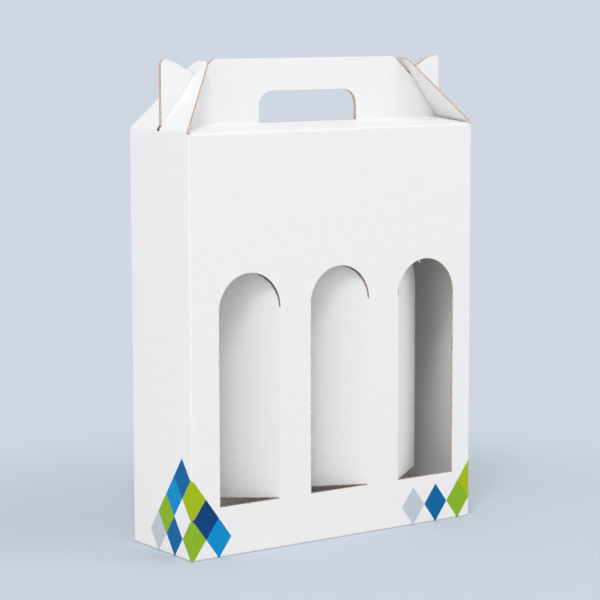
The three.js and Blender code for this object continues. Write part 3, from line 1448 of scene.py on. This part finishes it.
@dataclass(frozen=True)
class CoatedLiner:
    """The white coated outside of the board, with the print."""

    white: Colour = (0.904, 0.905, 0.917, 1.0)
    shaded: Colour = (0.888, 0.889, 0.900, 1.0)
    mottle: float = 9.0
    grain: float = 0.6
    washboard: float = 0.35
    relief: float = 0.02
    gloss_cloud: float = 4.0
    roughness: Span = (0.42, 0.52)
    specular: float = 0.06

    def material(self, front: Wall, windows: list[Window]) -> bpy.types.Material:
        """The finish as a material, with the print and the worn rims of the windows.

        Args:
            front: The front wall.
            windows: The windows.

        Returns:
            The material.
        """
        nodes = Nodes(bpy.data.materials.new("coated_liner"))
        place, _, up, _ = nodes.dieline()
        bare = nodes.mix(nodes.cloud(place, self.mottle), self.white, self.shaded)
        printed = Print().draw(nodes, front, bare)
        colour = WornRim().draw(nodes, windows, printed)
        height = nodes.math("MULTIPLY_ADD", nodes.flute(up), self.washboard, nodes.noise(place, self.grain))
        roughness = nodes.cloud(place, self.gloss_cloud, self.roughness)
        return nodes.paper(colour, roughness, self.specular, height, self.relief)


@dataclass(frozen=True)
class PlainLiner:
    """The uncoated white inside of the board, with fibres and faint flute lines."""

    pale: Colour = (0.892, 0.886, 0.877, 1.0)
    fibre: Colour = (0.856, 0.847, 0.836, 1.0)
    fibre_size: float = 0.9
    fibre_stretch: tuple[float, float, float] = (0.25, 1.0, 1.0)
    washboard: float = 0.6
    relief: float = 0.03
    roughness: Span = (0.72, 0.85)
    specular: float = 0.25

    def material(self) -> bpy.types.Material:
        """The finish as a material.

        Returns:
            The material.
        """
        nodes = Nodes(bpy.data.materials.new("plain_liner"))
        place, _, up, _ = nodes.dieline()
        stretched = nodes.add("Mapping", {"Vector": place, "Scale": self.fibre_stretch})
        fibres = nodes.cloud(stretched.outputs[0], self.fibre_size)
        colour = nodes.mix(fibres, self.pale, self.fibre)
        height = nodes.math("MULTIPLY_ADD", nodes.flute(up), self.washboard, fibres)
        roughness = nodes.map_range(fibres, NOISE_RANGE, self.roughness)
        return nodes.paper(colour, roughness, self.specular, height, self.relief)


@dataclass(frozen=True)
class FluteEdge:
    """The board's cut edge: brown liners, the wavy flute between them and painted shade in the hollows."""

    kraft: Colour = (0.610, 0.385, 0.255, 1.0)
    worn: Colour = (0.870, 0.675, 0.550, 1.0)
    # gap is painted shade: the colour of the shadow in the hollows beside the flute.
    gap: Colour = (0.370, 0.210, 0.125, 1.0)
    liner: float = 0.28
    paper: float = 0.16
    crush_size: float = 2.2
    crush: Span = (0.0, 0.8)
    wear_size: float = 1.1
    relief: float = 0.2
    roughness: Span = (0.8, 0.95)
    specular: float = 0.2

    def material(self, board: float) -> bpy.types.Material:
        """The finish as a material.

        Args:
            board: The board's thickness.

        Returns:
            The material.
        """
        nodes = Nodes(bpy.data.materials.new("flute_edge"))
        place, _, up, depth = nodes.dieline()
        swing = board / 2 - self.liner
        middle = nodes.math("MULTIPLY_ADD", nodes.flute(up), swing, -board / 2)
        off_flute = nodes.math("ABSOLUTE", nodes.math("SUBTRACT", depth, middle))
        off_middle = nodes.math("ABSOLUTE", nodes.math("ADD", depth, board / 2))
        flute = nodes.math("LESS_THAN", off_flute, self.paper)
        liners = nodes.math("GREATER_THAN", off_middle, swing)
        crushed = nodes.cloud(place, self.crush_size, self.crush)
        paper = nodes.math("MAXIMUM", nodes.math("MAXIMUM", flute, liners), crushed)
        wear = nodes.cloud(place, self.wear_size)
        # Where the flute, the liners and crushed paper leave a hollow, the gap colour paints its shadow.
        colour = nodes.mix(paper, self.gap, nodes.mix(wear, self.kraft, self.worn))
        roughness = nodes.map_range(wear, NOISE_RANGE, self.roughness)
        return nodes.paper(colour, roughness, self.specular, paper, self.relief)


# Studio


def bearing(azimuth: float, elevation: float) -> Vector:
    """The way to something round the box, in degrees from its front towards the right and above level."""
    turn, lift = math.radians(azimuth), math.radians(elevation)
    return Vector((math.sin(turn) * math.cos(lift), -math.cos(turn) * math.cos(lift), math.sin(lift)))


@dataclass(frozen=True)
class Lamp:
    """A soft square lamp that faces the box.

    level is the share of plain white that it gives a facing surface.
    """

    name: str
    azimuth: float
    elevation: float
    size: float
    level: float
    distance: float = 2.4

    def make(self, target: Vector) -> None:
        """Puts the lamp in its place.

        Args:
            target: What it faces.
        """
        data = bpy.data.lights.new(self.name, "AREA")
        data.size = self.size
        data.energy = self.level * math.pi**2 * self.distance**2
        made = link(self.name, data)
        back = bearing(self.azimuth, self.elevation)
        made.location = target + back * self.distance
        made.rotation_euler = back.to_track_quat("Z", "Y").to_euler()


@dataclass(frozen=True)
class Studio:
    """A pale blue-grey floor that runs out into a backdrop of the same colour, soft lamps and the camera."""

    backdrop: Colour = (0.617, 0.679, 0.762, 1.0)
    floor: Colour = (0.800, 0.800, 0.800, 1.0)
    floor_seen: Colour = (0.612, 0.672, 0.752, 1.0)
    sky: float = 0.785
    fade: Span = (0.2, 0.5)
    floor_reach: float = 6.0
    floor_sides: int = 96
    view_azimuth: float = -35.375
    view_elevation: float = 7.393
    view_roll: float = -0.122
    view_distance: float = 1.6881
    view_height: float = 0.170
    view_right: float = -0.0039
    view_up: float = 0.00754
    sensor: float = 36.0
    lens: float = 132.738
    lamps: tuple[Lamp, ...] = (
        Lamp("key_lamp", azimuth=-42, elevation=55, size=0.6, level=0.275),
        Lamp("side_lamp", azimuth=-80, elevation=8, size=1.8, level=0.19),
        Lamp("fill_lamp", azimuth=45, elevation=30, size=1.8, level=0.205),
    )

    def make(self) -> None:
        """Builds the whole studio."""
        target = UP * self.view_height
        self.make_world()
        self.make_floor()
        for lamp in self.lamps:
            lamp.make(target)
        self.make_camera(target)
        bpy.context.scene.view_settings.view_transform = "Standard"

    def make_world(self) -> None:
        """Even light from all round, with the backdrop's colour where the camera sees it."""
        nodes = Nodes(bpy.data.worlds.new("studio"))
        light = nodes.add("Background", {"Strength": self.sky})
        seen = nodes.add("Background", {"Color": self.backdrop})
        rays = nodes.add("LightPath").outputs
        sharp = nodes.math("MAXIMUM", rays["Is Camera Ray"], rays["Is Glossy Ray"])
        either = nodes.math("MAXIMUM", sharp, rays["Is Transmission Ray"])
        bpy.context.scene.world = nodes.finish(nodes.blend(either, light, seen))

    def make_floor(self) -> None:
        """A wide floor that takes the shadow and fades out to the camera, away from the box."""
        bm = bmesh.new()
        bmesh.ops.create_circle(bm, cap_ends=True, segments=self.floor_sides, radius=self.floor_reach)
        floor = mesh_object("studio_floor", bm)
        floor.data.materials.append(self.floor_material())

    def floor_material(self) -> bpy.types.Material:
        """Matte floor, clear to the camera where the backdrop takes over.

        Returns:
            The material.
        """
        nodes = Nodes(bpy.data.materials.new("studio_floor"))
        place = nodes.add("TexCoord").outputs["Object"]
        reach = nodes.add("VectorMath", {0: place}, operation="LENGTH").outputs["Value"]
        away = nodes.map_range(reach, self.fade, UNIT, interpolation_type="SMOOTHSTEP")
        seen = nodes.add("LightPath").outputs["Is Camera Ray"]
        matte = nodes.add("BsdfDiffuse", {"Color": nodes.mix(seen, self.floor, self.floor_seen)})
        clear = nodes.add("BsdfTransparent")
        return nodes.finish(nodes.blend(nodes.math("MULTIPLY", away, seen), matte, clear))

    def make_camera(self, target: Vector) -> None:
        """The camera at the photograph's angle.

        Args:
            target: Where it looks, before the small shifts of its aim.
        """
        back = bearing(self.view_azimuth, self.view_elevation)
        turn = math.radians(self.view_azimuth)
        right = Vector((math.cos(turn), math.sin(turn), 0))
        above = back.cross(right)
        data = bpy.data.cameras.new("camera")
        data.sensor_width = self.sensor
        data.lens = self.lens
        camera = link("camera", data)
        axes = Matrix((right, above, back)).transposed().to_4x4()
        roll = Matrix.Rotation(math.radians(self.view_roll), 4, "Z")
        aim = target + right * self.view_right + above * self.view_up + back * self.view_distance
        camera.matrix_world = Matrix.Translation(aim) @ axes @ roll
        bpy.context.scene.camera = camera


def main() -> None:
    logging.basicConfig(level=logging.INFO)
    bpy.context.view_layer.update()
    case = Case.from_frame()
    dieline = Dieline(case)
    windows = [Window.from_frame(dieline, bay) for bay in Bay]
    finish = BoardFinish(
        outside=CoatedLiner().material(dieline.walls[Side.FRONT], windows),
        inside=PlainLiner().material(),
        cut=FluteEdge().material(case.board),
    )
    lock = LockFlap(dieline)
    top = TopLeaf(dieline, lock)
    base = Base(dieline)
    pieces = [Sleeve(dieline, windows, top, lock, base).make(finish)]
    pieces += [window.make(finish) for window in windows]
    for side in (Side.FRONT, Side.BACK):
        pieces += [top.make(side, finish), base.long_flap(side, finish)]
    for side in (Side.LEFT, Side.RIGHT):
        pieces += [lock.make(side, finish), base.side_flap(side, finish), base.glued_corner(side, finish)]
    for piece in pieces:
        LOG.info("%s: %d faces", piece.name, len(piece.data.polygons))
    Studio().make()


if __name__ == "__main__":
    main()
